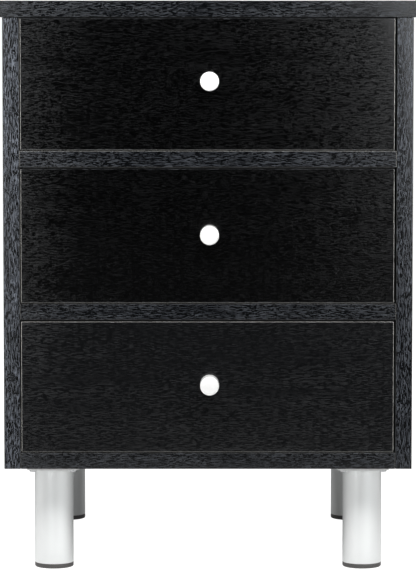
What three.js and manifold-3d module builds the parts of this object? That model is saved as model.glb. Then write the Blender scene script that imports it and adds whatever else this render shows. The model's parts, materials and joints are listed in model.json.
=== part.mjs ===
// A bedside cabinet with three drawers on four round legs.
// Millimetres, +Z up. The drawers open towards -Y and +X is on the right of someone facing them.
// The origin is on the floor, under the middle of the cabinet with its knobs.

import * as THREE from "three";
import { mergeVertices } from "three/addons/utils/BufferGeometryUtils.js";
import Module from "manifold-3d";

const wasm = await Module();
wasm.setup();

// ---- driving dimensions -------------------------------------------------------------------------

// Whole cabinet
const TOTAL_HEIGHT = 555;
const TOP_WIDTH = 400;
const TOP_DEPTH = 400;
const TOP_SIDE_OVERHANG = 2.5;
const TOP_FRONT_OVERHANG = 1;
const BOARD = 16;

// Carcass heights above the floor
const CARCASS_BOTTOM = 102.5;
const LOWER_RAIL_BOTTOM = 247.5;
const UPPER_RAIL_BOTTOM = 395;
const RAIL_DEPTH = 70;

// Back panel, held in a groove along both side panels
const BACK_THICKNESS = 3;
const BACK_SETBACK = 10;
const GROOVE_DEPTH = 5;
const GROOVE_SPARE = 0.5;

// Legs
const LEG_INSET = 46;
const TUBE_RADIUS = 19;
const TUBE_WALL = 1.2;
const PLATE_SIZE = 51;
const PLATE_CORNER_RADIUS = 8;
const PLATE_THICKNESS = 4.5;
const PLATE_HOLE_SPACING = 39;
const PLATE_HOLE_RADIUS = 2.2;
const FOOT_HEIGHT = 4.5;
const FOOT_EDGE_RADIUS = 1.5;
const SPIGOT_GAP = 0.3;
const SPIGOT_LENGTH = 12;

// Drawers
const FRONT_GAP_LEFT = 1;
const FRONT_GAP_RIGHT = 2;
const FRONT_GAP_BELOW = 0.75;
const DRAWER_SIDE_THICKNESS = 12;
const DRAWER_SIDE_HEIGHT = 90;
const DRAWER_SIDE_LENGTH = 352;
const DRAWER_SIDE_RISE = 16;
const DRAWER_BOTTOM_THICKNESS = 3;
const DRAWER_BOTTOM_RISE = 8;

// Knobs and their screws
const KNOB_RADIUS = 9.1;
const KNOB_LENGTH = 20;
const KNOB_EDGE = 0.6;
const KNOB_HEIGHT = 67;
const KNOB_OFFSET = 1.5;
const KNOB_BORE_DEPTH = 12;
const SCREW_RADIUS = 1.6;
const SCREW_GRIP = 11;
const SCREW_HEAD_RADIUS = 4;
const SCREW_HEAD_HEIGHT = 2.5;
const SCREW_HEAD_EDGE = 0.8;
const SCREW_GAP = 0.3;
const FRONT_HOLE_RADIUS = 2.2;

// Ball-bearing runners: a channel on the cabinet, a narrower one on the drawer, and a ball cage between
const RUNNER_LENGTH = 350;
const RUNNER_SETBACK = 2;
const RUNNER_SPACE = 12.5;
const RUNNER_SHEET = 1.2;
const CABINET_RUNNER_HEIGHT = 35;
const CABINET_RUNNER_DEPTH = 10;
const CABINET_RUNNER_LIP = 3;
const DRAWER_RUNNER_HEIGHT = 23;
const DRAWER_RUNNER_DEPTH = 8.5;
const CAGE_LENGTH = 80;
const CAGE_SHEET = 0.8;
const CAGE_HEIGHT = 28.6;
const CAGE_SETBACK = 2;
const CAGE_DEPTH = 6.2;
const BALL_RADIUS = 2;
const BALL_PITCH = 25;
const BALLS_IN_ROW = 3;

// Facets round a full turn
const ROUND_FACETS = 32;
const SMALL_FACETS = 12;
const BALL_FACETS = 6;
const CORNER_FACETS = 6;

// ---- worked-out dimensions ----------------------------------------------------------------------

const TOTAL_DEPTH = TOP_DEPTH - TOP_FRONT_OVERHANG + KNOB_LENGTH;
const BACK_Y = TOTAL_DEPTH / 2;
const TOP_FRONT_Y = BACK_Y - TOP_DEPTH;
const FRONT_Y = TOP_FRONT_Y + TOP_FRONT_OVERHANG;
const OUTER_X = TOP_WIDTH / 2 - TOP_SIDE_OVERHANG;
const INNER_X = OUTER_X - BOARD;
const TOP_UNDERSIDE = TOTAL_HEIGHT - BOARD;
const BACK_PANEL_Y = BACK_Y - BACK_SETBACK - BACK_THICKNESS;
const TUBE_BORE_RADIUS = TUBE_RADIUS - TUBE_WALL;
const SPIGOT_RADIUS = TUBE_BORE_RADIUS - SPIGOT_GAP;
const TUBE_TOP = CARCASS_BOTTOM - PLATE_THICKNESS;
const DRAWER_OUTER_X = INNER_X - RUNNER_SPACE;
const DRAWER_INNER_X = DRAWER_OUTER_X - DRAWER_SIDE_THICKNESS;

// Each opening's floor, its ceiling, and the gap left above its drawer front
const BAYS = [
  { place: "top", floor: UPPER_RAIL_BOTTOM + BOARD, ceiling: TOP_UNDERSIDE, gapAbove: 0.75 },
  { place: "middle", floor: LOWER_RAIL_BOTTOM + BOARD, ceiling: UPPER_RAIL_BOTTOM, gapAbove: 1 },
  { place: "bottom", floor: CARCASS_BOTTOM + BOARD, ceiling: LOWER_RAIL_BOTTOM, gapAbove: 1.5 },
];

// ---- materials ----------------------------------------------------------------------------------

function material(color, roughness, metalness) {
  return new THREE.MeshStandardMaterial({ color, roughness, metalness });
}

const BLACK_WOODGRAIN = material(0x1a1a1c, 0.45, 0);
const DRAWER_FOIL = material(0x1d1c1c, 0.6, 0);
const BLACK_HARDBOARD = material(0x161616, 0.7, 0);
const SATIN_ALUMINIUM = material(0xc9cccd, 0.35, 0.9);
const SILVER_PAINT = material(0xe2e4e5, 0.4, 0.3);
const GREY_PLASTIC = material(0x3b3b3c, 0.6, 0);
const WHITE_GLOSS = material(0xf4f4f2, 0.25, 0);
const ZINC = material(0xb9bdc0, 0.4, 0.9);

// ---- making solids ------------------------------------------------------------------------------

function named(name, geometry, look) {
  const mesh = new THREE.Mesh(geometry, look);
  mesh.name = name;
  return mesh;
}

// A box between two values along each axis.
function boxGeometry([x0, x1], [y0, y1], [z0, z1]) {
  const geometry = new THREE.BoxGeometry(x1 - x0, y1 - y0, z1 - z0);
  return geometry.translate((x0 + x1) / 2, (y0 + y1) / 2, (z0 + z1) / 2);
}

// An outline of [x, y] points, carried up from z0 to z1.
function prismUpZ(points, [z0, z1]) {
  const shape = new THREE.Shape(points.map(([x, y]) => new THREE.Vector2(x, y)));
  const geometry = new THREE.ExtrudeGeometry(shape, { depth: z1 - z0, bevelEnabled: false });
  return geometry.translate(0, 0, z0);
}

// An outline of [x, z] points, carried back from y0 to y1.
function prismAlongY(points, [y0, y1]) {
  const geometry = prismUpZ(points, [0, y1 - y0]);
  return geometry.rotateX(Math.PI / 2).translate(0, y1, 0);
}

// An outline of [radius, z] points, turned round the Z axis.
function turnedAboutZ(profile, facets) {
  const points = profile.map(([radius, z]) => new THREE.Vector2(radius, z));
  return new THREE.LatheGeometry(points, facets).rotateX(Math.PI / 2);
}

// An outline of [radius, distance] points, turned round a line that points out of the drawer front.
function turnedOutOfFront(profile, facets) {
  return turnedAboutZ(profile, facets).rotateX(Math.PI / 2);
}

// Four corners of a square, each as an arc.
function roundedSquare(size, cornerRadius) {
  const centre = size / 2 - cornerRadius;
  const points = [];
  for (let corner = 0; corner < 4; corner++) {
    const middle = (corner + 0.5) * (Math.PI / 2);
    const centreX = Math.sign(Math.cos(middle)) * centre;
    const centreY = Math.sign(Math.sin(middle)) * centre;
    for (let step = 0; step <= CORNER_FACETS; step++) {
      const angle = (corner + step / CORNER_FACETS) * (Math.PI / 2);
      points.push([centreX + cornerRadius * Math.cos(angle), centreY + cornerRadius * Math.sin(angle)]);
    }
  }
  return points;
}

// The closed solid that a geometry bounds, ready to be joined or cut.
function solidOf(geometry) {
  const bare = geometry.clone();
  bare.deleteAttribute("normal");
  bare.deleteAttribute("uv");
  const merged = mergeVertices(bare);
  const vertProperties = merged.getAttribute("position").array;
  const triVerts = new Uint32Array(merged.index.array);
  return new wasm.Manifold(new wasm.Mesh({ numProp: 3, vertProperties, triVerts }));
}

function geometryOf(solid) {
  const { vertProperties, triVerts } = solid.getMesh();
  const geometry = new THREE.BufferGeometry();
  geometry.setAttribute("position", new THREE.BufferAttribute(vertProperties, 3));
  geometry.setIndex(new THREE.BufferAttribute(triVerts, 1));
  return geometry;
}

// ---- carcass ------------------------------------------------------------------------------------

// A side panel with the groove that holds the back panel's edge. side is -1 on the left, 1 on the right.
function sidePanel(name, side) {
  const grooveX = INNER_X + GROOVE_DEPTH;
  const grooveEnd = BACK_PANEL_Y + BACK_THICKNESS + GROOVE_SPARE;
  const outline = [
    [INNER_X, FRONT_Y],
    [OUTER_X, FRONT_Y],
    [OUTER_X, BACK_Y],
    [INNER_X, BACK_Y],
    [INNER_X, grooveEnd],
    [grooveX, grooveEnd],
    [grooveX, BACK_PANEL_Y],
    [INNER_X, BACK_PANEL_Y],
  ].map(([x, y]) => [side * x, y]);
  return named(name, prismUpZ(outline, [CARCASS_BOTTOM, TOP_UNDERSIDE]), BLACK_WOODGRAIN);
}

function frontRail(name, bottom) {
  const depth = [FRONT_Y, FRONT_Y + RAIL_DEPTH];
  const geometry = boxGeometry([-INNER_X, INNER_X], depth, [bottom, bottom + BOARD]);
  return named(name, geometry, BLACK_WOODGRAIN);
}

function carcass() {
  const group = new THREE.Group();
  const topX = TOP_WIDTH / 2;
  const backX = INNER_X + GROOVE_DEPTH - GROOVE_SPARE;
  const top = boxGeometry([-topX, topX], [TOP_FRONT_Y, BACK_Y], [TOP_UNDERSIDE, TOTAL_HEIGHT]);
  const bottomHeights = [CARCASS_BOTTOM, CARCASS_BOTTOM + BOARD];
  const bottom = boxGeometry([-INNER_X, INNER_X], [FRONT_Y, BACK_PANEL_Y], bottomHeights);
  const backDepths = [BACK_PANEL_Y, BACK_PANEL_Y + BACK_THICKNESS];
  const back = boxGeometry([-backX, backX], backDepths, [CARCASS_BOTTOM, TOP_UNDERSIDE]);
  group.add(
    named("top_panel", top, BLACK_WOODGRAIN),
    sidePanel("left_side_panel", -1),
    sidePanel("right_side_panel", 1),
    named("bottom_panel", bottom, BLACK_WOODGRAIN),
    frontRail("upper_rail", UPPER_RAIL_BOTTOM),
    frontRail("lower_rail", LOWER_RAIL_BOTTOM),
    named("back_panel", back, BLACK_HARDBOARD),
  );
  return group;
}

// ---- legs ---------------------------------------------------------------------------------------

// A square plate with a screw hole near each corner and a round spigot for the tube.
function legPlate(name) {
  const outline = roundedSquare(PLATE_SIZE, PLATE_CORNER_RADIUS);
  let plate = solidOf(prismUpZ(outline, [TUBE_TOP, CARCASS_BOTTOM]));
  const spigotProfile = [
    [0, TUBE_TOP - SPIGOT_LENGTH],
    [SPIGOT_RADIUS, TUBE_TOP - SPIGOT_LENGTH],
    [SPIGOT_RADIUS, TUBE_TOP + PLATE_THICKNESS / 2],
    [0, TUBE_TOP + PLATE_THICKNESS / 2],
  ];
  plate = plate.add(solidOf(turnedAboutZ(spigotProfile, ROUND_FACETS)));
  const drillProfile = [
    [0, TUBE_TOP - 1],
    [PLATE_HOLE_RADIUS, TUBE_TOP - 1],
    [PLATE_HOLE_RADIUS, CARCASS_BOTTOM + 1],
    [0, CARCASS_BOTTOM + 1],
  ];
  for (const signX of [-1, 1]) {
    for (const signY of [-1, 1]) {
      const drill = turnedAboutZ(drillProfile, SMALL_FACETS);
      drill.translate((signX * PLATE_HOLE_SPACING) / 2, (signY * PLATE_HOLE_SPACING) / 2, 0);
      plate = plate.subtract(solidOf(drill));
    }
  }
  return named(name, geometryOf(plate), SILVER_PAINT);
}

function legTube(name) {
  const profile = [
    [TUBE_BORE_RADIUS, FOOT_HEIGHT],
    [TUBE_RADIUS, FOOT_HEIGHT],
    [TUBE_RADIUS, TUBE_TOP],
    [TUBE_BORE_RADIUS, TUBE_TOP],
    [TUBE_BORE_RADIUS, FOOT_HEIGHT],
  ];
  return named(name, turnedAboutZ(profile, ROUND_FACETS), SATIN_ALUMINIUM);
}

// A cap as wide as the tube, with a rounded lower edge and a spigot that plugs into the tube.
function legFoot(name) {
  const edgeMiddle = FOOT_EDGE_RADIUS * (1 - Math.SQRT1_2);
  const profile = [
    [0, 0],
    [TUBE_RADIUS - FOOT_EDGE_RADIUS, 0],
    [TUBE_RADIUS - edgeMiddle, edgeMiddle],
    [TUBE_RADIUS, FOOT_EDGE_RADIUS],
    [TUBE_RADIUS, FOOT_HEIGHT],
    [SPIGOT_RADIUS, FOOT_HEIGHT],
    [SPIGOT_RADIUS, FOOT_HEIGHT + SPIGOT_LENGTH],
    [0, FOOT_HEIGHT + SPIGOT_LENGTH],
  ];
  return named(name, turnedAboutZ(profile, ROUND_FACETS), GREY_PLASTIC);
}

function legs() {
  const group = new THREE.Group();
  const rows = [
    ["front", FRONT_Y + LEG_INSET],
    ["rear", BACK_Y - LEG_INSET],
  ];
  const columns = [
    ["left", LEG_INSET - OUTER_X],
    ["right", OUTER_X - LEG_INSET],
  ];
  for (const [row, y] of rows) {
    for (const [column, x] of columns) {
      const corner = `${row}_${column}`;
      const leg = new THREE.Group();
      leg.add(legPlate(`${corner}_leg_plate`), legTube(`${corner}_leg_tube`), legFoot(`${corner}_leg_foot`));
      leg.position.set(x, y, 0);
      group.add(leg);
    }
  }
  return group;
}

// ---- runners ------------------------------------------------------------------------------------
// Runner outlines are [out, up] points: out from the cabinet's side wall, up from the runner's middle.

function cabinetRunnerOutline() {
  const half = CABINET_RUNNER_HEIGHT / 2;
  const inside = half - RUNNER_SHEET;
  const lipEnd = half - CABINET_RUNNER_LIP;
  const lipStart = CABINET_RUNNER_DEPTH - RUNNER_SHEET;
  return [
    [0, -half],
    [CABINET_RUNNER_DEPTH, -half],
    [CABINET_RUNNER_DEPTH, -lipEnd],
    [lipStart, -lipEnd],
    [lipStart, -inside],
    [RUNNER_SHEET, -inside],
    [RUNNER_SHEET, inside],
    [lipStart, inside],
    [lipStart, lipEnd],
    [CABINET_RUNNER_DEPTH, lipEnd],
    [CABINET_RUNNER_DEPTH, half],
    [0, half],
  ];
}

// A channel outline whose web is at webOut and whose flanges end at flangeOut.
function channelOutline(webOut, flangeOut, height, sheet) {
  const half = height / 2;
  const webInside = webOut + Math.sign(flangeOut - webOut) * sheet;
  return [
    [webOut, -half],
    [flangeOut, -half],
    [flangeOut, sheet - half],
    [webInside, sheet - half],
    [webInside, half - sheet],
    [flangeOut, half - sheet],
    [flangeOut, half],
    [webOut, half],
  ];
}

// Carries a runner outline back along one side of the drawer bay.
function runnerPrism(outline, side, [y0, y1]) {
  const height = DRAWER_SIDE_RISE + DRAWER_SIDE_HEIGHT / 2;
  const placed = outline.map(([out, up]) => [side * (INNER_X - out), height + up]);
  return prismAlongY(placed, [y0, y1]);
}

function ballCage(name, side) {
  const middle = BOARD + RUNNER_SETBACK + RUNNER_LENGTH / 2;
  const span = [middle - CAGE_LENGTH / 2, middle + CAGE_LENGTH / 2];
  const outline = channelOutline(CAGE_SETBACK, CAGE_SETBACK + CAGE_DEPTH, CAGE_HEIGHT, CAGE_SHEET);
  let cage = solidOf(runnerPrism(outline, side, span));
  const ballX = side * (INNER_X - CAGE_SETBACK - CAGE_DEPTH + BALL_RADIUS);
  const ballRise = (CAGE_HEIGHT - CAGE_SHEET) / 2;
  const runnerMiddle = DRAWER_SIDE_RISE + DRAWER_SIDE_HEIGHT / 2;
  for (const sign of [-1, 1]) {
    for (let index = 0; index < BALLS_IN_ROW; index++) {
      const ball = new THREE.SphereGeometry(BALL_RADIUS, BALL_FACETS, BALL_FACETS - 2);
      const y = middle + (index - (BALLS_IN_ROW - 1) / 2) * BALL_PITCH;
      ball.translate(ballX, y, runnerMiddle + sign * ballRise);
      cage = cage.add(solidOf(ball));
    }
  }
  return named(name, geometryOf(cage), ZINC);
}

function runners(place) {
  const group = new THREE.Group();
  const span = [BOARD + RUNNER_SETBACK, BOARD + RUNNER_SETBACK + RUNNER_LENGTH];
  const tipOut = RUNNER_SPACE - DRAWER_RUNNER_DEPTH;
  const drawerOutline = channelOutline(RUNNER_SPACE, tipOut, DRAWER_RUNNER_HEIGHT, RUNNER_SHEET);
  for (const [hand, side] of [["left", -1], ["right", 1]]) {
    const start = `${place}_${hand}`;
    group.add(
      named(`${start}_cabinet_runner`, runnerPrism(cabinetRunnerOutline(), side, span), ZINC),
      named(`${start}_drawer_runner`, runnerPrism(drawerOutline, side, span), ZINC),
      ballCage(`${start}_ball_cage`, side),
    );
  }
  return group;
}

// ---- drawers ------------------------------------------------------------------------------------
// A drawer's own frame has its origin on the floor of its opening, at the cabinet's front face.

const DRAWER_BACK_Y = BOARD + DRAWER_SIDE_LENGTH;
const PANEL_Z = DRAWER_SIDE_RISE + DRAWER_BOTTOM_RISE;
const PANEL_GROOVE_Z = [PANEL_Z, PANEL_Z + DRAWER_BOTTOM_THICKNESS + GROOVE_SPARE];

// The front panel, with a groove for the drawer's bottom and a hole for the knob's screw.
function drawerFront(name, height) {
  const width = [FRONT_GAP_LEFT - INNER_X, INNER_X - FRONT_GAP_RIGHT];
  const front = boxGeometry(width, [0, BOARD], [FRONT_GAP_BELOW, FRONT_GAP_BELOW + height]);
  const grooveX = DRAWER_INNER_X + GROOVE_DEPTH;
  const groove = boxGeometry([-grooveX, grooveX], [BOARD - GROOVE_DEPTH, BOARD + 1], PANEL_GROOVE_Z);
  const holeProfile = [
    [0, -BOARD - 1],
    [FRONT_HOLE_RADIUS, -BOARD - 1],
    [FRONT_HOLE_RADIUS, 1],
    [0, 1],
  ];
  const hole = turnedOutOfFront(holeProfile, SMALL_FACETS).translate(KNOB_OFFSET, 0, KNOB_HEIGHT);
  const solid = solidOf(front).subtract(solidOf(groove)).subtract(solidOf(hole));
  return named(name, geometryOf(solid), BLACK_WOODGRAIN);
}

// A side board with a groove for the drawer's bottom.
function drawerSide(name, side) {
  const grooveX = DRAWER_INNER_X + GROOVE_DEPTH;
  const [grooveBottom, grooveTop] = PANEL_GROOVE_Z;
  const sideTop = DRAWER_SIDE_RISE + DRAWER_SIDE_HEIGHT;
  const outline = [
    [DRAWER_INNER_X, DRAWER_SIDE_RISE],
    [DRAWER_OUTER_X, DRAWER_SIDE_RISE],
    [DRAWER_OUTER_X, sideTop],
    [DRAWER_INNER_X, sideTop],
    [DRAWER_INNER_X, grooveTop],
    [grooveX, grooveTop],
    [grooveX, grooveBottom],
    [DRAWER_INNER_X, grooveBottom],
  ].map(([x, z]) => [side * x, z]);
  return named(name, prismAlongY(outline, [BOARD, DRAWER_BACK_Y]), DRAWER_FOIL);
}

function drawerBack(name) {
  const depths = [DRAWER_BACK_Y - DRAWER_SIDE_THICKNESS, DRAWER_BACK_Y];
  const heights = [PANEL_Z + DRAWER_BOTTOM_THICKNESS, DRAWER_SIDE_RISE + DRAWER_SIDE_HEIGHT];
  return named(name, boxGeometry([-DRAWER_INNER_X, DRAWER_INNER_X], depths, heights), DRAWER_FOIL);
}

function drawerBottom(name) {
  const edgeX = DRAWER_INNER_X + GROOVE_DEPTH - GROOVE_SPARE;
  const depths = [BOARD - GROOVE_DEPTH + GROOVE_SPARE, DRAWER_BACK_Y];
  const heights = [PANEL_Z, PANEL_Z + DRAWER_BOTTOM_THICKNESS];
  return named(name, boxGeometry([-edgeX, edgeX], depths, heights), BLACK_HARDBOARD);
}

// A plain cylinder with a softened rim and a blind bore for its screw.
function knob(name) {
  const boreRadius = SCREW_RADIUS + SCREW_GAP;
  const profile = [
    [0, KNOB_BORE_DEPTH],
    [boreRadius, KNOB_BORE_DEPTH],
    [boreRadius, 0],
    [KNOB_RADIUS, 0],
    [KNOB_RADIUS, KNOB_LENGTH - KNOB_EDGE],
    [KNOB_RADIUS - KNOB_EDGE, KNOB_LENGTH],
    [0, KNOB_LENGTH],
  ];
  const mesh = named(name, turnedOutOfFront(profile, ROUND_FACETS), WHITE_GLOSS);
  mesh.position.set(KNOB_OFFSET, 0, KNOB_HEIGHT);
  return mesh;
}

// A pan-head screw, from inside the drawer through the front and into the knob.
function knobScrew(name) {
  const headTop = -BOARD - SCREW_HEAD_HEIGHT;
  const profile = [
    [0, headTop],
    [SCREW_HEAD_RADIUS - SCREW_HEAD_EDGE, headTop],
    [SCREW_HEAD_RADIUS, headTop + SCREW_HEAD_EDGE],
    [SCREW_HEAD_RADIUS, -BOARD],
    [SCREW_RADIUS, -BOARD],
    [SCREW_RADIUS, SCREW_GRIP],
    [0, SCREW_GRIP],
  ];
  const mesh = named(name, turnedOutOfFront(profile, SMALL_FACETS), ZINC);
  mesh.position.set(KNOB_OFFSET, 0, KNOB_HEIGHT);
  return mesh;
}

function drawer({ place, floor, ceiling, gapAbove }) {
  const group = new THREE.Group();
  const start = `${place}_drawer`;
  group.add(
    drawerFront(`${start}_front`, ceiling - gapAbove - FRONT_GAP_BELOW - floor),
    drawerSide(`${start}_left_side`, -1),
    drawerSide(`${start}_right_side`, 1),
    drawerBack(`${start}_back`),
    drawerBottom(`${start}_bottom`),
    knob(`${start}_knob`),
    knobScrew(`${start}_knob_screw`),
    runners(place),
  );
  group.position.set(0, FRONT_Y, floor);
  return group;
}

// ---- the whole cabinet --------------------------------------------------------------------------

const cabinet = new THREE.Group();
cabinet.add(carcass(), legs(), ...BAYS.map(drawer));

export default cabinet;
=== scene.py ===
"""Looks for a bedside cabinet with three drawers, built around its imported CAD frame.

Everything is in metres, in the frame of the CAD: +Z up, drawers opening towards -Y. Boards, leg
plates and runners are rounded copies of their CAD solids. Leg tubes, feet, knobs and screws are
turned here.
"""

import json
import math
from typing import NamedTuple

import bmesh
import bpy
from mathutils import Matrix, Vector


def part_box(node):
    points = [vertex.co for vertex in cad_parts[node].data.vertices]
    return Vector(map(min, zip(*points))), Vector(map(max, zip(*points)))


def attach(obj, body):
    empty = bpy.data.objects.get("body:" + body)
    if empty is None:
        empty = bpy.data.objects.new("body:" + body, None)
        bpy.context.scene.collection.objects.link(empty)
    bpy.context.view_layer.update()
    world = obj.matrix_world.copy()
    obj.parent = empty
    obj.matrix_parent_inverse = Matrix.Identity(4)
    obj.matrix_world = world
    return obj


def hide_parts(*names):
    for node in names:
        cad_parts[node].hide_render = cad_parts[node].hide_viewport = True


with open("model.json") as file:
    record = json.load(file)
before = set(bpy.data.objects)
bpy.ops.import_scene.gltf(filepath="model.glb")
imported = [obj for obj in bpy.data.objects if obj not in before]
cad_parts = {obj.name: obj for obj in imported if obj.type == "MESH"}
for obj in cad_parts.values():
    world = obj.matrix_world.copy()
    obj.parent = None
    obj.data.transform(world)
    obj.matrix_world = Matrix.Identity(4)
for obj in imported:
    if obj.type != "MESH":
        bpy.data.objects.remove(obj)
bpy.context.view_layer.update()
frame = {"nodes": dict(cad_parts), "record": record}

MM = 0.001
BODY_OF = {
    node: body
    for body, nodes in frame["record"]["behaviour"]["bodies"].items()
    for node in nodes
}
PLACES = ("top", "middle", "bottom")
HANDS = (("left", -1), ("right", 1))
ENDS = (("front", -1), ("rear", 1))
CORNERS = [f"{end}_{hand}" for end, _ in ENDS for hand, _ in HANDS]
X, Y, Z = 0, 1, 2


# ---- camera -------------------------------------------------------------------------------------

CAMERA_AT = (0.0, -3.325, 0.545)
CAMERA_PITCH = 4.82  # degrees below level
CAMERA_LENS = 205.2  # millimetres
SENSOR_WIDTH = 36.0  # millimetres
CAMERA_REACH = 100.0


def make_camera():
    data = bpy.data.cameras.new("camera")
    data.lens = CAMERA_LENS
    data.sensor_width = SENSOR_WIDTH
    data.clip_end = CAMERA_REACH
    camera = bpy.data.objects.new("camera", data)
    camera.location = CAMERA_AT
    camera.rotation_euler = (math.radians(90 - CAMERA_PITCH), 0, 0)
    bpy.context.scene.collection.objects.link(camera)
    bpy.context.scene.camera = camera


# ---- node helpers -------------------------------------------------------------------------------


class Look:
    """A material being made: adds nodes, links their inputs and sets the shader's own sockets."""

    def __init__(self, name, **shader_numbers):
        self.material = bpy.data.materials.new(name)
        self.material.use_nodes = True
        self.tree = self.material.node_tree
        self.shader = self.tree.nodes["Principled BSDF"]
        for socket, value in shader_numbers.items():
            self.shader.inputs[socket.replace("_", " ")].default_value = value
        self.position = self.node("ShaderNodeTexCoord").outputs["Object"]

    def node(self, kind, inputs=None, **settings):
        """A new node. An input is a socket to link from or a value to set."""
        made = self.tree.nodes.new(kind)
        for name, value in settings.items():
            setattr(made, name, value)
        for socket, value in (inputs or {}).items():
            if isinstance(value, bpy.types.NodeSocket):
                self.tree.links.new(value, made.inputs[socket])
            else:
                made.inputs[socket].default_value = value
        return made

    def math(self, operation, first, second):
        return self.node("ShaderNodeMath", {0: first, 1: second}, operation=operation).outputs[0]

    def ramp(self, value, low, high, start=0.0, end=1.0):
        """Goes smoothly from start to end as value goes from low to high."""
        inputs = {"Value": value, 1: low, 2: high, 3: start, 4: end}
        return self.node("ShaderNodeMapRange", inputs, interpolation_type="SMOOTHSTEP").outputs[0]

    def mix(self, share, first, second):
        """A colour that is first where share is 0 and second where it is 1."""
        inputs = {0: share, 6: first, 7: second}
        return self.node("ShaderNodeMix", inputs, data_type="RGBA").outputs[2]

    def noise(self, scale, seed=0.0, detail=2.0, position=None):
        """Noise whose cells number scale to the metre along each axis."""
        start = self.position if position is None else position
        inputs = {"Vector": start, "Location": (seed,) * 3, "Scale": scale}
        placed = self.node("ShaderNodeMapping", inputs).outputs[0]
        inputs = {"Vector": placed, "Scale": 1.0, "Detail": detail}
        return self.node("ShaderNodeTexNoise", inputs).outputs["Fac"]

    def shifted(self, amount):
        """The position moved by the same amount along every axis."""
        inputs = {0: self.position, 1: amount}
        return self.node("ShaderNodeVectorMath", inputs, operation="ADD").outputs[0]

    def facing(self):
        """The surface's outward direction."""
        return self.node("ShaderNodeNewGeometry").outputs["Normal"]

    def parts(self, vector):
        """A vector's X, Y and Z."""
        return self.node("ShaderNodeSeparateXYZ", {0: vector}).outputs

    def bump(self, height, depth):
        inputs = {"Height": height, "Distance": depth, "Strength": 1.0}
        self.link("Normal", self.node("ShaderNodeBump", inputs).outputs[0])

    def link(self, socket, value):
        self.tree.links.new(value, self.shader.inputs[socket])


def grey(value, blue=0.0):
    """A grey with its blue raised by a share, and its red lowered by half of that."""
    return (value * (1 - blue / 2), value, value * (1 + blue), 1.0)


def even(cells):
    """A noise scale with cells of one size along every axis."""
    return (cells,) * 3


def stretched(axis, along, across):
    """A noise scale with long cells along one axis and fine ones across it."""
    return tuple(along if index == axis else across for index in range(3))


# ---- woodgrain ----------------------------------------------------------------------------------

FOIL_IOR = 1.5
BAND_THICKNESS = 0.9 * MM

# Painted shade: a matt, near-black strip on the faces beside a drawer's gap, standing in for the shade
# inside the gap
GAP_SHADE_DEPTH = 18 * MM
GAP_SHADE_SKIN = 0.2 * MM
GAP_SHADE_START = (0.5 * MM, 1.0 * MM)
GAP_SHADE_FADE = 0.7
GAP_SHADE_TONE = 0.0005
GAP_SHADE_ROUGHNESS = 0.9

# Noise cells to the metre, along the grain and across it
DRIFT_CELLS = 26.0
FIGURE_CELLS = (5.0, 75.0)
LONG_PORE_CELLS = (150.0, 2300.0)
SHORT_PORE_CELLS = (520.0, 2300.0)
LONG_RIDGE_CELLS = (130.0, 1900.0)
SHORT_RIDGE_CELLS = (560.0, 1900.0)
CLOUD_CELLS = (20.0, 150.0)
SCUFF_CELLS = 90.0

# Spans of a noise's value over which its marks fade in
MIDDLING = (0.3, 0.7)
FIGURE_SPAN = (0.36, 0.64)
LONG_PORE_SPAN = (0.57, 0.65)
SHORT_PORE_SPAN = (0.63, 0.72)
LONG_RIDGE_SPAN = (0.55, 0.62)
SHORT_RIDGE_SPAN = (0.63, 0.7)
SCUFF_SPAN = (0.3, 0.6)

# Spans of a normal's largest part and of its upward part, over which corners are told apart
ROUND_SPAN = (0.92, 0.995)
LOOKS_UP = (0.1, 0.4)
LOOKS_DOWN = (-0.4, -0.1)
# where corners and faces that look up get painted shade on the top and middle drawer fronts
TOP_SHADE_SPAN = (0.1, 0.3)

# How far the grain sways on the faces and on the edge band, and how deep its marks are
FACE_SWAY = 1.0 * MM
BAND_SWAY = 7 * MM
BOARD_RELIEF = 0.05 * MM
MARK_HEIGHT = 0.25
RIDGE_HEIGHT = 0.5

# Shares of full strength
SHORT_MARK_STRENGTH = 0.8
FAINTEST_RIDGES = 0.6
FAINTEST_SCUFF = 0.7
# the share of the corners' painted highlight on corners that look down
DOWNWARD_HIGHLIGHT = 0.35
FIGURE_DEPTH = 0.85
GLOSS_FIGURE_LOSS = 0.65

# Shares of blue between the marks and on them, for grey()
FACE_BLUE = (0.15, 0.06)
BAND_BLUE = (0.35, 0.2)
# blue share of the corners' painted highlight, partly edge wear
CORNER_HIGHLIGHT_BLUE = -0.06

# Roughness between the marks and on them, and what one unit of gloss takes off each
FACE_ROUGHNESS = (0.28, 0.42)
GLOSS_POLISH = (0.18, 0.265)
BAND_ROUGHNESS = (0.14, 0.30)
BAND_GROUND = 0.0016


class Board(NamedTuple):
    """How a woodgrain board looks. Tones are linear greys, and a face is its axis and its side."""

    grain: int  # the axis that the grain runs along
    banded: list  # faces with an edge band
    shaded_gap_faces: list  # faces beside a drawer's gap, which get painted shade
    band: float  # tone of the edge band's ridges
    wear: float  # tone of the rounded corners' painted highlight, partly edge wear
    top_wear: float  # the share of the corners' painted highlight on corners that look up
    ground: float = 0.004  # tone between the faces' grain marks
    marks: float = 0.030  # tone of the faces' grain marks
    gloss: float = 0.0  # 1 is a glossy drawer front, and below 0 is duller than the carcass


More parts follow.
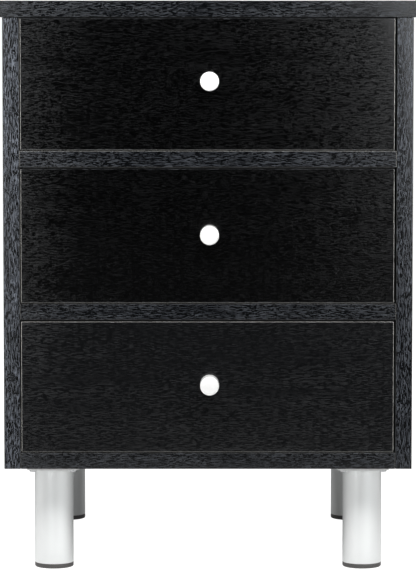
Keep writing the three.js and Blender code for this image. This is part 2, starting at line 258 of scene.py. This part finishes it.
def woodgrain(name, board, low, high, seed):
    """Black woodgrain foil with an edge band on the banded faces, and a painted highlight on its rounded
    corners that is partly edge wear.

    The faces on either side of a drawer's gap get painted shade, matt and near-black for the depth of a
    drawer front; on the top and middle drawer fronts, so do the corners and faces that look up.
    """
    look = Look(name, IOR=FOIL_IOR)
    sway = look.math("SUBTRACT", look.noise(even(DRIFT_CELLS), seed, 1.0), 0.5)
    gentle = look.shifted(look.math("MULTIPLY", sway, FACE_SWAY))
    wavy = look.shifted(look.math("MULTIPLY", sway, BAND_SWAY))
    marks = face_marks(look, board, seed, gentle, wavy)
    ridges = band_ridges(look, board, seed, wavy)
    on_band = band_mask(look, low, high, board.banded)
    painted_shade = gap_shade_mask(look, low, high, board.shaded_gap_faces)
    # On the top and middle drawer fronts, painted shade also covers corners and faces that look up,
    # hiding their highlight.
    if board.top_wear == 0.0:
        painted_shade = look.math("MAXIMUM", painted_shade, top_shade_mask(look))

    face = look.mix(marks, *map(grey, (board.ground, board.marks), FACE_BLUE))
    edge = look.mix(ridges, *map(grey, (BAND_GROUND, board.band), BAND_BLUE))
    highlight_and_wear = look.math("MULTIPLY", highlit_worn_corners(look, seed, board.top_wear), on_band)
    colour = look.mix(on_band, face, edge)
    # painted highlight on the rounded corners, partly edge wear
    colour = look.mix(highlight_and_wear, colour, grey(board.wear, CORNER_HIGHLIGHT_BLUE))
    # Near-black painted shade beside the drawer gaps, and on the top and middle drawer fronts' upward
    # corners and faces
    look.link("Base Color", look.mix(painted_shade, colour, grey(GAP_SHADE_TONE)))

    polished = [plain - board.gloss * polish for plain, polish in zip(FACE_ROUGHNESS, GLOSS_POLISH)]
    face_roughness = look.ramp(marks, 0.0, 1.0, *polished)
    edge_roughness = look.ramp(ridges, 0.0, 1.0, *BAND_ROUGHNESS)
    roughness = either(look, on_band, face_roughness, edge_roughness)
    shade_roughness = look.math("MULTIPLY", painted_shade, GAP_SHADE_ROUGHNESS)
    look.link("Roughness", look.math("MAXIMUM", roughness, shade_roughness))

    face_height = look.math("MULTIPLY", marks, MARK_HEIGHT)
    edge_height = look.math("MULTIPLY", ridges, RIDGE_HEIGHT)
    look.bump(either(look, on_band, face_height, edge_height), BOARD_RELIEF)
    return look.material


def either(look, share, first, second):
    """A number that is first where share is 0 and second where it is 1."""
    change = look.math("MULTIPLY", share, look.math("SUBTRACT", second, first))
    return look.math("ADD", first, change)


def face_marks(look, board, seed, gentle, wavy):
    """The faces' long and short grain marks, stronger in some streaks than in others."""
    streaks = look.noise(stretched(board.grain, *FIGURE_CELLS), seed + 3, 3.0, wavy)
    faintest = 1.0 - (FIGURE_DEPTH - GLOSS_FIGURE_LOSS * max(board.gloss, 0.0))
    figure = look.ramp(streaks, *FIGURE_SPAN, faintest, 1.0)
    long_noise = look.noise(stretched(board.grain, *LONG_PORE_CELLS), seed + 5, 0.0, gentle)
    short_noise = look.noise(stretched(board.grain, *SHORT_PORE_CELLS), seed + 7, 0.0, gentle)
    long_pores = look.ramp(long_noise, *LONG_PORE_SPAN)
    short_pores = look.ramp(short_noise, *SHORT_PORE_SPAN, 0.0, SHORT_MARK_STRENGTH)
    return look.math("MULTIPLY", look.math("MAXIMUM", long_pores, short_pores), figure)


def band_ridges(look, board, seed, wavy):
    """The edge band's long and short ridges, in soft clouds."""
    long_noise = look.noise(stretched(board.grain, *LONG_RIDGE_CELLS), seed + 11, 0.0, wavy)
    short_noise = look.noise(stretched(board.grain, *SHORT_RIDGE_CELLS), seed + 13, 0.0, wavy)
    long_ridges = look.ramp(long_noise, *LONG_RIDGE_SPAN)
    short_ridges = look.ramp(short_noise, *SHORT_RIDGE_SPAN, 0.0, SHORT_MARK_STRENGTH)
    cloud_noise = look.noise(stretched(board.grain, *CLOUD_CELLS), seed + 15, 1.0, wavy)
    cloud = look.ramp(cloud_noise, *MIDDLING, FAINTEST_RIDGES, 1.0)
    return look.math("MULTIPLY", look.math("MAXIMUM", long_ridges, short_ridges), cloud)


def highlit_worn_corners(look, seed, top_wear):
    """A painted highlight on a board's rounded corners, partly edge wear, broken up by scuffs, and 0 on
    its flat faces.

    Corners that look up get the board's upward share of it, and corners that look down a fixed share, so
    the painted highlight depends on which way a corner looks.
    """
    normal = look.facing()
    upward = look.parts(normal)[Z]
    size = look.node("ShaderNodeVectorMath", {0: normal}, operation="ABSOLUTE").outputs[0]
    x_size, y_size, z_size = look.parts(size)
    squareness = look.math("MAXIMUM", look.math("MAXIMUM", x_size, y_size), z_size)
    round_part = look.ramp(squareness, *ROUND_SPAN, 1.0, 0.0)
    scuffs = look.ramp(look.noise(even(SCUFF_CELLS), seed + 17, 3.0), *SCUFF_SPAN, FAINTEST_SCUFF, 1.0)
    above = look.ramp(upward, *LOOKS_UP, 1.0, top_wear)
    below = look.ramp(upward, *LOOKS_DOWN, DOWNWARD_HIGHLIGHT, 1.0)
    highlight_and_wear = look.math("MULTIPLY", round_part, scuffs)
    return look.math("MULTIPLY", highlight_and_wear, look.math("MULTIPLY", above, below))


def top_shade_mask(look):
    """Mask of painted shade: 1 where a rounded corner or face looks up, and 0 elsewhere."""
    return look.ramp(look.parts(look.facing())[Z], *TOP_SHADE_SPAN)


def band_mask(look, low, high, banded, thickness=BAND_THICKNESS):
    """1 within a thickness of each banded face, and 0 elsewhere."""
    place = look.parts(look.position)
    mask = None
    for axis, side in banded:
        if side < 0:
            near = look.math("LESS_THAN", place[axis], low[axis] + thickness)
        else:
            near = look.math("GREATER_THAN", place[axis], high[axis] - thickness)
        mask = near if mask is None else look.math("MAXIMUM", mask, near)
    return mask


def gap_shade_mask(look, low, high, shaded_gap_faces):
    """Mask of painted shade: 1 on the faces beside a drawer's gap, from behind the rounded corner to the
    depth set for it.
    """
    depth = look.math("SUBTRACT", look.parts(look.position)[Y], low[Y])
    behind_corner = look.ramp(depth, *GAP_SHADE_START)
    before_end = look.ramp(depth, GAP_SHADE_FADE * GAP_SHADE_DEPTH, GAP_SHADE_DEPTH, 1.0, 0.0)
    within = look.math("MULTIPLY", behind_corner, before_end)
    return look.math("MULTIPLY", within, band_mask(look, low, high, shaded_gap_faces, GAP_SHADE_SKIN))


# ---- other materials ----------------------------------------------------------------------------


def drawer_foil():
    """Plain black paper foil on the drawer boxes, with a faint linen texture."""
    look = Look("drawer_foil_look", IOR=1.48)
    weave = look.noise(even(1500.0), 2.0, 2.0)
    cloud = look.ramp(look.noise(even(22.0), 4.0), *MIDDLING)
    look.link("Base Color", look.mix(cloud, grey(0.009, 0.05), grey(0.016, 0.05)))
    look.link("Roughness", look.ramp(weave, *MIDDLING, 0.42, 0.6))
    look.bump(weave, 0.05 * MM)
    return look.material


def hardboard():
    """Thin black painted hardboard, slightly fibrous and mottled."""
    look = Look("black_hardboard_look", IOR=1.45)
    fibres = look.noise(stretched(Z, 900.0, 260.0), 1.0, 4.0)
    mottle = look.ramp(look.noise(even(45.0), 6.0, 3.0), *MIDDLING)
    look.link("Base Color", look.mix(mottle, grey(0.010), grey(0.018)))
    look.link("Roughness", look.ramp(fibres, *MIDDLING, 0.5, 0.75))
    look.bump(fibres, 0.08 * MM)
    return look.material


def satin_aluminium():
    """Drawn tube with a satin silver coat: very fine lines along it and a soft cloudiness."""
    look = Look("leg_aluminium_look", Metallic=0.3, IOR=1.5)
    lines = look.noise(stretched(Z, 30.0, 2600.0), 3.0, 2.0)
    cloud = look.ramp(look.noise(stretched(Z, 12.0, 30.0), 5.0), *MIDDLING)
    look.link("Base Color", look.mix(cloud, (0.84, 0.86, 0.855, 1.0), (0.90, 0.915, 0.91, 1.0)))
    look.link("Roughness", look.ramp(lines, *MIDDLING, 0.34, 0.46))
    look.bump(lines, 0.012 * MM)
    return look.material


def silver_plate():
    """A pale silver-grey powder coat with its orange peel."""
    look = Look("plate_silver_look", IOR=1.5)
    peel = look.noise(even(700.0), 8.0, 1.0)
    wear = look.ramp(look.noise(even(90.0), 9.0, 3.0), 0.35, 0.7)
    look.link("Base Color", look.mix(wear, (0.93, 0.935, 0.935, 1.0), (0.97, 0.97, 0.97, 1.0)))
    look.link("Roughness", look.ramp(peel, *MIDDLING, 0.3, 0.42))
    look.bump(peel, 0.03 * MM)
    return look.material


def grey_plastic():
    """Moulded dark grey plastic with a fine spark texture and paler scuffs where it meets the floor."""
    look = Look("foot_plastic_look", IOR=1.46)
    spark = look.noise(even(1800.0), 4.0, 1.0)
    height = look.parts(look.position)[Z]
    scuff = look.ramp(look.noise(stretched(Z, 900.0, 300.0), 6.0, 3.0), 0.5, 0.75)
    scuff = look.math("MULTIPLY", scuff, look.ramp(height, 0.5 * MM, 2.5 * MM, 1.0, 0.15))
    look.link("Base Color", look.mix(scuff, (0.085, 0.081, 0.079, 1.0), (0.17, 0.162, 0.158, 1.0)))
    look.link("Roughness", look.ramp(spark, *MIDDLING, 0.45, 0.62))
    look.bump(spark, 0.03 * MM)
    return look.material


def white_gloss():
    """Glossy white moulded plastic, faintly uneven."""
    look = Look("knob_white_look", IOR=1.5)
    swell = look.noise(even(160.0), 7.0, 1.0)
    tone = look.ramp(look.noise(even(70.0), 2.0), *MIDDLING)
    look.link("Base Color", look.mix(tone, (0.86, 0.86, 0.85, 1.0), (0.90, 0.90, 0.895, 1.0)))
    look.link("Roughness", look.ramp(swell, *MIDDLING, 0.16, 0.24))
    look.bump(swell, 0.03 * MM)
    return look.material


def zinc(name, axis):
    """Bright zinc plate over rolled steel, its fine lines along one axis."""
    look = Look(name, Metallic=1.0)
    lines = look.noise(stretched(axis, 30.0, 2400.0), 5.0, 2.0)
    spangle = look.ramp(look.noise(even(110.0), 3.0, 3.0), 0.35, 0.65)
    look.link("Base Color", look.mix(spangle, (0.56, 0.57, 0.58, 1.0), (0.70, 0.71, 0.72, 1.0)))
    look.link("Roughness", look.ramp(lines, *MIDDLING, 0.26, 0.42))
    look.bump(lines, 0.015 * MM)
    return look.material


# ---- making pieces ------------------------------------------------------------------------------

# Angles are in degrees
SHARP_ANGLE = 40.0
COPY_SHARP_ANGLE = 60.0
SCREW_SHARP_ANGLE = 35.0
FLAT_ANGLE = 1.0
CORNER_ANGLE = 40.0
MERGE_DISTANCE = 0.002 * MM
ON_AXIS = 1e-7


def centre_of(node):
    low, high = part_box(node)
    return (low + high) / 2


def place_piece(name, mesh, body, replaces=None, location=(0, 0, 0), rotation=None):
    piece = bpy.data.objects.new(name, mesh)
    bpy.context.scene.collection.objects.link(piece)
    piece.location = location
    if rotation is not None:
        piece.rotation_euler = rotation
    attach(piece, body)
    if replaces is not None:
        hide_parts(replaces)
    return piece


def mesh_from(bm, name, material, sharp_angle=SHARP_ANGLE):
    """A smooth-shaded mesh with edges sharper than an angle kept crisp."""
    mesh = bpy.data.meshes.new(name)
    bmesh.ops.recalc_face_normals(bm, faces=bm.faces)
    for face in bm.faces:
        face.smooth = True
    bm.to_mesh(mesh)
    bm.free()
    mesh.set_sharp_from_angle(angle=math.radians(sharp_angle))
    mesh.materials.append(material)
    return mesh


def rounded_copy(node, material, radius, segments=2):
    """A CAD solid with its sharp outward edges rounded."""
    bm = bmesh.new()
    bm.from_mesh(frame["nodes"][node].data)
    bmesh.ops.remove_doubles(bm, verts=bm.verts, dist=MERGE_DISTANCE)
    bmesh.ops.dissolve_limit(bm, angle_limit=math.radians(FLAT_ANGLE), verts=bm.verts, edges=bm.edges)
    sharp = [
        edge
        for edge in bm.edges
        if edge.is_manifold and edge.calc_face_angle_signed(0.0) > math.radians(CORNER_ANGLE)
    ]
    bmesh.ops.bevel(
        bm,
        geom=sharp,
        offset=radius,
        segments=segments,
        profile=0.5,
        affect="EDGES",
        clamp_overlap=True,
    )
    mesh = mesh_from(bm, f"{node}_shape", material, COPY_SHARP_ANGLE)
    piece = place_piece(f"{node}_shape", mesh, BODY_OF[node], node)
    piece.modifiers.new("even_shading", "WEIGHTED_NORMAL").keep_sharp = True


def arc(centre_out, centre_up, radius, start, end, steps=6):
    """Points of an arc in a profile, between two angles in degrees."""
    angles = [math.radians(start + (end - start) * step / steps) for step in range(steps + 1)]
    return [(centre_out + radius * math.cos(a), centre_up + radius * math.sin(a)) for a in angles]


def lathe(profile, segments=96):
    """Turns (radius, height) points round Z. A radius of zero closes on the axis."""
    bm = bmesh.new()
    turn = [2 * math.pi * index / segments for index in range(segments)]
    rings = []
    for radius, height in profile:
        if radius < ON_AXIS:
            points = [(0, 0, height)]
        else:
            points = [(radius * math.cos(a), radius * math.sin(a), height) for a in turn]
        rings.append([bm.verts.new(point) for point in points])
    closed = len(rings[0]) > 1
    pairs = zip(rings, rings[1:] + rings[:1]) if closed else zip(rings, rings[1:])
    for first, second in pairs:
        for index in range(segments):
            after = (index + 1) % segments
            corners = [
                first[index % len(first)],
                first[after % len(first)],
                second[after % len(second)],
                second[index % len(second)],
            ]
            bm.faces.new(list(dict.fromkeys(corners)))
    return bm


# ---- screws -------------------------------------------------------------------------------------

RECESS_TAPER = 0.55
CUTTER_ABOVE = 1 * MM
SCREW_SEGMENTS = 40


class Screw(NamedTuple):
    """Sizes of a pan-head screw."""

    head_radius: float
    head_height: float
    shank_radius: float
    shank_length: float


def cross_recess(bm, width, length, top, depth):
    """Cuts a tapered cross-shaped driver recess into the top of a screw head."""
    head = bpy.data.meshes.new("head")
    bm.to_mesh(head)
    bm.free()
    cutter = bmesh.new()
    half = width / 2
    reach = length / 2
    outline = [
        (half, reach), (half, half), (reach, half), (reach, -half), (half, -half), (half, -reach),
        (-half, -reach), (-half, -half), (-reach, -half), (-reach, half), (-half, half), (-half, reach),
    ]
    upper = [cutter.verts.new((x, y, top + CUTTER_ABOVE)) for x, y in outline]
    lower = [cutter.verts.new((x * RECESS_TAPER, y * RECESS_TAPER, top - depth)) for x, y in outline]
    cutter.faces.new(upper)
    cutter.faces.new(list(reversed(lower)))
    for index in range(len(outline)):
        after = (index + 1) % len(outline)
        cutter.faces.new((upper[after], upper[index], lower[index], lower[after]))
    bmesh.ops.recalc_face_normals(cutter, faces=cutter.faces)
    tool_mesh = bpy.data.meshes.new("cutter")
    cutter.to_mesh(tool_mesh)
    cutter.free()
    head_object = bpy.data.objects.new("head", head)
    tool_object = bpy.data.objects.new("cutter", tool_mesh)
    for made in (head_object, tool_object):
        bpy.context.scene.collection.objects.link(made)
    cut = head_object.modifiers.new("cut", "BOOLEAN")
    cut.object = tool_object
    cut.operation = "DIFFERENCE"
    cut.solver = "EXACT"
    bpy.context.view_layer.update()
    shape = head_object.evaluated_get(bpy.context.evaluated_depsgraph_get()).to_mesh()
    result = bmesh.new()
    result.from_mesh(shape)
    head_object.to_mesh_clear()
    bpy.data.objects.remove(head_object)
    bpy.data.objects.remove(tool_object)
    return result


def pan_head_screw(name, material, screw):
    """A pan-head cross-recess screw, its head's seat at z = 0 and its shank going down."""
    head_radius, head_height, shank_radius, shank_length = screw
    edge = head_height * 0.45
    crown = head_height * 0.88
    shoulder = crown + 0.06 * MM
    blunt_radius = shank_radius * 0.2
    profile = [(0, head_height), (head_radius * 0.35, head_height), (head_radius * 0.6, shoulder)]
    profile += arc(head_radius - edge, crown - edge, edge, 62, 0, 6)
    profile += [(head_radius, 0), (shank_radius, 0), (shank_radius, -shank_length)]
    profile += [(blunt_radius, -shank_length - shank_radius), (0, -shank_length - shank_radius * 1.1)]
    recess_width = head_radius * 0.28
    recess_length = head_radius * 1.15
    recess_depth = head_height * 0.62
    turned = lathe(profile, SCREW_SEGMENTS)
    cut = cross_recess(turned, recess_width, recess_length, head_height, recess_depth)
    return mesh_from(cut, name, material, SCREW_SHARP_ANGLE)


# ---- boards -------------------------------------------------------------------------------------

# Radii of the rounded edges
BOARD_EDGE = 0.6 * MM
FRONT_EDGE = 0.55 * MM
THIN_EDGE = 0.3 * MM

FRONT_BAND = [(Y, -1)]
TOP_BANDS = [(Y, -1), (X, -1), (X, 1)]
UP_AND_DOWN = [(Z, -1), (Z, 1)]
ALL_EDGES = [(X, -1), (X, 1)] + UP_AND_DOWN
SEED_STEP = 1.7


def glossy_front(**tones):
    return Board(X, ALL_EDGES, ALL_EDGES, band=0.02, gloss=1.0, **tones)


# Painted light in these tones: the left side's edge band is lighter than the right side's, the bottom
# drawer front's ground and marks are lighter than the other fronts', and the corners' painted highlight
# is set board by board, all standing in for how light falls on each board.
BOARDS = {
    "top_panel": Board(X, TOP_BANDS, [(Z, -1)], band=0.0215, wear=0.02, top_wear=0.35, gloss=-1.4),
    "left_side_panel": Board(Z, FRONT_BAND, [(X, 1)], band=0.112, wear=0.02, top_wear=0.35),
    "right_side_panel": Board(Z, FRONT_BAND, [(X, -1)], band=0.066, wear=0.02, top_wear=0.35),
    "bottom_panel": Board(X, FRONT_BAND, [(Z, 1)], band=0.030, wear=0.09, top_wear=0.5),
    "upper_rail": Board(X, FRONT_BAND, UP_AND_DOWN, band=0.0335, wear=0.20, top_wear=0.7),
    "lower_rail": Board(X, FRONT_BAND, UP_AND_DOWN, band=0.032, wear=0.09, top_wear=0.5),
    "top_drawer_front": glossy_front(ground=0.0003, marks=0.0068, wear=0.5, top_wear=0.0),
    "middle_drawer_front": glossy_front(ground=0.0003, marks=0.0058, wear=0.5, top_wear=0.0),
    "bottom_drawer_front": glossy_front(ground=0.0031, marks=0.0158, wear=0.55, top_wear=0.45),
}


def make_boards():
    for index, (node, board) in enumerate(BOARDS.items()):
        low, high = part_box(node)
        look = woodgrain(f"{node}_woodgrain", board, low, high, SEED_STEP * index)
        rounded_copy(node, look, FRONT_EDGE if node.endswith("drawer_front") else BOARD_EDGE)
    foil = drawer_foil()
    thin_board = hardboard()
    rounded_copy("back_panel", thin_board, THIN_EDGE)
    for place in PLACES:
        for part in ("left_side", "right_side", "back"):
            rounded_copy(f"{place}_drawer_{part}", foil, BOARD_EDGE)
        rounded_copy(f"{place}_drawer_bottom", thin_board, THIN_EDGE)


# ---- legs ---------------------------------------------------------------------------------------

TUBE_WALL = 1.2 * MM
TUBE_EDGE = 0.35 * MM
TUBE_RINGS = 8
FOOT_EDGE = 1.5 * MM
FOOT_SEAM = 0.25 * MM
FOOT_HOLLOW = 0.4 * MM
FOOT_HOLLOW_SHARES = (0.55, 0.6)  # of the foot's radius, at the hollow's roof and at its rim
FOOT_GAP = 0.3 * MM
SPIGOT_EDGE = 1 * MM
PLATE_EDGE = 0.8 * MM
PLATE_EDGE_SEGMENTS = 3
PLATE_SCREW = Screw(3.6 * MM, 2.0 * MM, 2.0 * MM, 12 * MM)
PLATE_SCREW_SPACING = 39 * MM
HEAD_DOWN = (math.pi, 0, 0)


def tube_profile(radius, bottom, top):
    """Up the outside of a tube and down its inside, with rounded rims."""
    inner = radius - TUBE_WALL
    profile = arc(radius - TUBE_EDGE, bottom + TUBE_EDGE, TUBE_EDGE, -90, 0)
    profile += [(radius, bottom + (top - bottom) * step / TUBE_RINGS) for step in range(1, TUBE_RINGS)]
    profile += arc(radius - TUBE_EDGE, top - TUBE_EDGE, TUBE_EDGE, 0, 90)
    profile += [(inner + TUBE_EDGE / 2, top), (inner, top - TUBE_EDGE / 2)]
    profile += [(inner, bottom + TUBE_EDGE / 2), (inner + TUBE_EDGE / 2, bottom)]
    return profile


def foot_profile(radius, spigot_radius, flange_top, top):
    """From the foot's hollow underside, round its flange and up to the top of its spigot."""
    roof, rim = (radius * share for share in FOOT_HOLLOW_SHARES)
    profile = [(0, FOOT_HOLLOW), (roof, FOOT_HOLLOW), (rim, 0), (radius - FOOT_EDGE, 0)]
    profile += arc(radius - FOOT_EDGE, FOOT_EDGE, FOOT_EDGE, -75, 0, 8)
    profile += arc(radius - FOOT_SEAM, flange_top - FOOT_SEAM, FOOT_SEAM, 0, 90, 4)
    profile += [(spigot_radius, flange_top), (spigot_radius, top - SPIGOT_EDGE)]
    return profile + [(spigot_radius - SPIGOT_EDGE, top), (0, top)]


def make_legs():
    tube_look = satin_aluminium()
    plate_look = silver_plate()
    foot_look = grey_plastic()
    screw_look = zinc("screw_zinc_look", Z)
    screw = pan_head_screw("plate_screw", screw_look, PLATE_SCREW)
    for corner in CORNERS:
        tube = f"{corner}_leg_tube"
        foot = f"{corner}_leg_foot"
        plate = f"{corner}_leg_plate"
        low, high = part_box(tube)
        radius = (high.x - low.x) / 2
        centre = centre_of(tube)
        at = (centre.x, centre.y, 0)
        mesh = mesh_from(lathe(tube_profile(radius, low.z, high.z)), f"{tube}_shape", tube_look)
        place_piece(f"{tube}_shape", mesh, BODY_OF[tube], tube, at)

        spigot_radius = radius - TUBE_WALL - FOOT_GAP
        profile = foot_profile(radius, spigot_radius, low.z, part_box(foot)[1].z)
        mesh = mesh_from(lathe(profile), f"{foot}_shape", foot_look)
        place_piece(f"{foot}_shape", mesh, BODY_OF[foot], foot, at)

        rounded_copy(plate, plate_look, PLATE_EDGE, PLATE_EDGE_SEGMENTS)
        for hand, column in HANDS:
            for end, row in ENDS:
                x = centre.x + column * PLATE_SCREW_SPACING / 2
                y = centre.y + row * PLATE_SCREW_SPACING / 2
                name = f"{corner}_plate_screw_{end}_{hand}"
                place_piece(name, screw, BODY_OF[plate], None, (x, y, high.z), HEAD_DOWN)


# ---- knobs --------------------------------------------------------------------------------------

KNOB_EDGE = 1.0 * MM
KNOB_DOME = 0.15 * MM
KNOB_BASE_EDGE = 0.4 * MM
KNOB_BASE_CUT = 0.1 * MM
KNOB_BORE = 1.9 * MM
KNOB_BORE_DEPTH = 12 * MM
KNOB_HEAD_RADIUS = 4 * MM
KNOB_HEAD_HEIGHT = 2.5 * MM
KNOB_SHANK_RADIUS = 1.6 * MM
KNOB_SCREW_TIP = 2 * MM
OUT_OF_FRONT = (math.pi / 2, 0, 0)
INTO_DRAWER = (-math.pi / 2, 0, 0)


def knob_profile(radius, length):
    """From the bore's end, out along the base and up to a rounded rim and a very slightly domed face."""
    profile = [(0, KNOB_BORE_DEPTH), (KNOB_BORE, KNOB_BORE_DEPTH), (KNOB_BORE, 0)]
    profile += [(radius - KNOB_BASE_EDGE, 0), (radius - KNOB_BASE_CUT, KNOB_BASE_CUT)]
    profile += [(radius, KNOB_BASE_EDGE)]
    profile += [(radius, length * 0.3), (radius, length * 0.6)]
    profile += arc(radius - KNOB_EDGE, length - KNOB_DOME - KNOB_EDGE, KNOB_EDGE, 0, 86, 8)
    profile += [(radius * 0.6, length - KNOB_DOME * 0.45), (radius * 0.3, length - KNOB_DOME * 0.1)]
    return profile + [(0, length)]


def make_knobs():
    look = white_gloss()
    screw_look = zinc("knob_screw_zinc_look", Z)
    for place in PLACES:
        knob = f"{place}_drawer_knob"
        screw = f"{place}_drawer_knob_screw"
        low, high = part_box(knob)
        centre = centre_of(knob)
        radius = (high.x - low.x) / 2
        at = (centre.x, high.y, centre.z)
        mesh = mesh_from(lathe(knob_profile(radius, high.y - low.y)), f"{knob}_shape", look)
        place_piece(f"{knob}_shape", mesh, BODY_OF[knob], knob, at, OUT_OF_FRONT)

        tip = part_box(screw)[0].y
        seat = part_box(f"{place}_drawer_front")[1].y
        shank_length = seat - tip - KNOB_SCREW_TIP
        sizes = Screw(KNOB_HEAD_RADIUS, KNOB_HEAD_HEIGHT, KNOB_SHANK_RADIUS, shank_length)
        mesh = pan_head_screw(f"{screw}_shape", screw_look, sizes)
        at = (centre.x, seat, centre.z)
        place_piece(f"{screw}_shape", mesh, BODY_OF[screw], screw, at, INTO_DRAWER)


# ---- runners ------------------------------------------------------------------------------------

SHEET_EDGE = 0.2 * MM
SHEET_THICKNESS = 1.2 * MM
RUNNER_SCREW = Screw(3.4 * MM, 1.8 * MM, 1.7 * MM, 9 * MM)
RUNNER_SCREWS_AT = (37 * MM, 165 * MM, 293 * MM)


def make_runners():
    sheet = zinc("runner_zinc_look", Y)
    screw_look = zinc("runner_screw_zinc_look", Z)
    drawer_screw = pan_head_screw("drawer_runner_screw", screw_look, RUNNER_SCREW)
    for place in PLACES:
        for hand, side in HANDS:
            start = f"{place}_{hand}"
            for part in ("cabinet_runner", "drawer_runner", "ball_cage"):
                rounded_copy(f"{start}_{part}", sheet, SHEET_EDGE, 1)
            low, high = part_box(f"{start}_drawer_runner")
            middle = (low.z + high.z) / 2
            web = (high.x if side < 0 else low.x) + side * SHEET_THICKNESS
            turn = (0, side * math.pi / 2, 0)
            for number, reach in enumerate(RUNNER_SCREWS_AT, 1):
                at = (web, low.y + reach, middle)
                name = f"{start}_drawer_runner_screw_{number}"
                place_piece(name, drawer_screw, f"{place}_drawer", None, at, turn)


# ---- stage --------------------------------------------------------------------------------------

FLOOR_RADIUS = 5.0
FLOOR_SHOWN = 0.98
WORLD_SHOWN = 1.05
WHITE = (1, 1, 1, 1)
FLOOR_PAINT = (0.2, 0.2, 0.2, 1)
FLOOR_GLOW_CENTRE = (0, 0.12, 0)

# Ramps are from, to, value at from and value at to
FRONT_GLOW = (-1.0, -0.65, 0.05, 0.88)
REAR_GLOW = (-0.2, 0.3, 1.0, 0.12)
NEAR_GLOW = (0.10, 0.38, 0.05, 1.0)
WORLD_GLOW = (-0.5, 0.9, 0.015, 0.75)


def make_floor():
    """A floor that looks plain white to the camera.

    What it gives to other rays fades in front of the cabinet, behind it and close to its middle.
    """
    bm = bmesh.new()
    bmesh.ops.create_circle(bm, cap_ends=True, segments=96, radius=FLOOR_RADIUS)
    mesh = bpy.data.meshes.new("floor")
    bm.to_mesh(mesh)
    bm.free()
    floor = bpy.data.objects.new("floor", mesh)
    bpy.context.scene.collection.objects.link(floor)

    look = Look("floor_look")
    tree = look.tree
    tree.nodes.remove(look.shader)
    y = look.parts(look.position)[Y]
    inputs = {0: look.position, 1: FLOOR_GLOW_CENTRE}
    distance = look.node("ShaderNodeVectorMath", inputs, operation="DISTANCE").outputs["Value"]
    glow = look.math("MULTIPLY", look.ramp(y, *FRONT_GLOW), look.ramp(y, *REAR_GLOW))
    glow = look.math("MULTIPLY", glow, look.ramp(distance, *NEAR_GLOW))
    seen = look.node("ShaderNodeLightPath").outputs["Is Camera Ray"]
    bounce = look.node("ShaderNodeEmission", {"Color": WHITE, "Strength": glow})
    shown = look.node("ShaderNodeEmission", {"Color": WHITE, "Strength": FLOOR_SHOWN})
    paint = look.node("ShaderNodeBsdfDiffuse", {"Color": FLOOR_PAINT})
    lit = look.node("ShaderNodeAddShader", {0: shown.outputs[0], 1: paint.outputs[0]})
    both = look.node("ShaderNodeMixShader", {0: seen, 1: bounce.outputs[0], 2: lit.outputs[0]})
    tree.links.new(both.outputs[0], tree.nodes["Material Output"].inputs["Surface"])
    look.material.cycles.emission_sampling = "NONE"
    mesh.materials.append(look.material)


def make_world():
    """A world that is plain white to the camera, and to other rays dim in front of the cabinet."""
    world = bpy.data.worlds.new("studio")
    world.use_nodes = True
    bpy.context.scene.world = world
    tree = world.node_tree
    direction = tree.nodes.new("ShaderNodeTexCoord").outputs["Generated"]
    parts = tree.nodes.new("ShaderNodeSeparateXYZ")
    tree.links.new(direction, parts.inputs[0])
    depth = tree.nodes.new("ShaderNodeMapRange")
    depth.interpolation_type = "SMOOTHSTEP"
    for index, value in enumerate(WORLD_GLOW, 1):
        depth.inputs[index].default_value = value
    tree.links.new(parts.outputs[Y], depth.inputs["Value"])
    seen = tree.nodes.new("ShaderNodeLightPath").outputs["Is Camera Ray"]
    strength = tree.nodes.new("ShaderNodeMix")
    strength.inputs[3].default_value = WORLD_SHOWN
    tree.links.new(seen, strength.inputs[0])
    tree.links.new(depth.outputs[0], strength.inputs[2])
    tree.links.new(strength.outputs[0], tree.nodes["Background"].inputs["Strength"])
    tree.nodes["Background"].inputs["Color"].default_value = WHITE
    world.cycles.sampling_method = "NONE"


def softbox(name, at, towards, size, power, colour=(1, 1, 1), diffuse=True, glossy=True):
    """A rectangular lamp that the camera doesn't see, and that can skip diffuse or glossy light."""
    data = bpy.data.lights.new(name, "AREA")
    data.shape = "RECTANGLE"
    data.size, data.size_y = size
    data.energy = power
    data.color = colour
    lamp = bpy.data.objects.new(name, data)
    bpy.context.scene.collection.objects.link(lamp)
    lamp.location = at
    lamp.rotation_euler = (Vector(towards) - Vector(at)).to_track_quat("-Z", "Y").to_euler()
    lamp.visible_camera = False
    lamp.visible_diffuse = diffuse
    lamp.visible_glossy = glossy


def make_lights():
    cool = (0.96, 0.98, 1.0)
    fronts = (0, -0.19, 0.33)
    legs = (0, 0, 0.15)
    low_middle = (0, 0, 0.2)
    middle = (0, 0, 0.3)
    softbox("left_strip", (-0.324, -0.75, 0.403), fronts, (0.15, 0.69), 1.18, cool, diffuse=False)
    softbox("right_box", (0.536, -0.77, 0.70), fronts, (0.97, 1.19), 11.0, cool, diffuse=False)
    softbox("front_fill", (0, -0.65, 0.98), fronts, (1.6, 0.3), 15, glossy=False)
    softbox("low_fill", (-0.2, -2.8, 0.86), legs, (2.8, 0.35), 16.5, glossy=False)
    softbox("left_wall", (-1.8, 0, 0.4), low_middle, (1.0, 1.0), 9, glossy=False)
    softbox("right_wall", (1.8, 0, 0.4), low_middle, (1.0, 1.0), 5, glossy=False)
    softbox("overhead", (0, 0.2, 2.2), middle, (1.4, 1.4), 22, glossy=False)
    softbox("rear_left_box", (-1.5, 1.7, 1.3), middle, (1.0, 1.2), 26, glossy=False)
    softbox("rear_right_box", (1.5, 1.7, 1.3), middle, (1.0, 1.2), 26, glossy=False)


# ---- the whole scene ----------------------------------------------------------------------------

make_camera()
make_boards()
make_legs()
make_knobs()
make_runners()
make_floor()
make_world()
make_lights()
bpy.context.scene.view_settings.view_transform = "Standard"
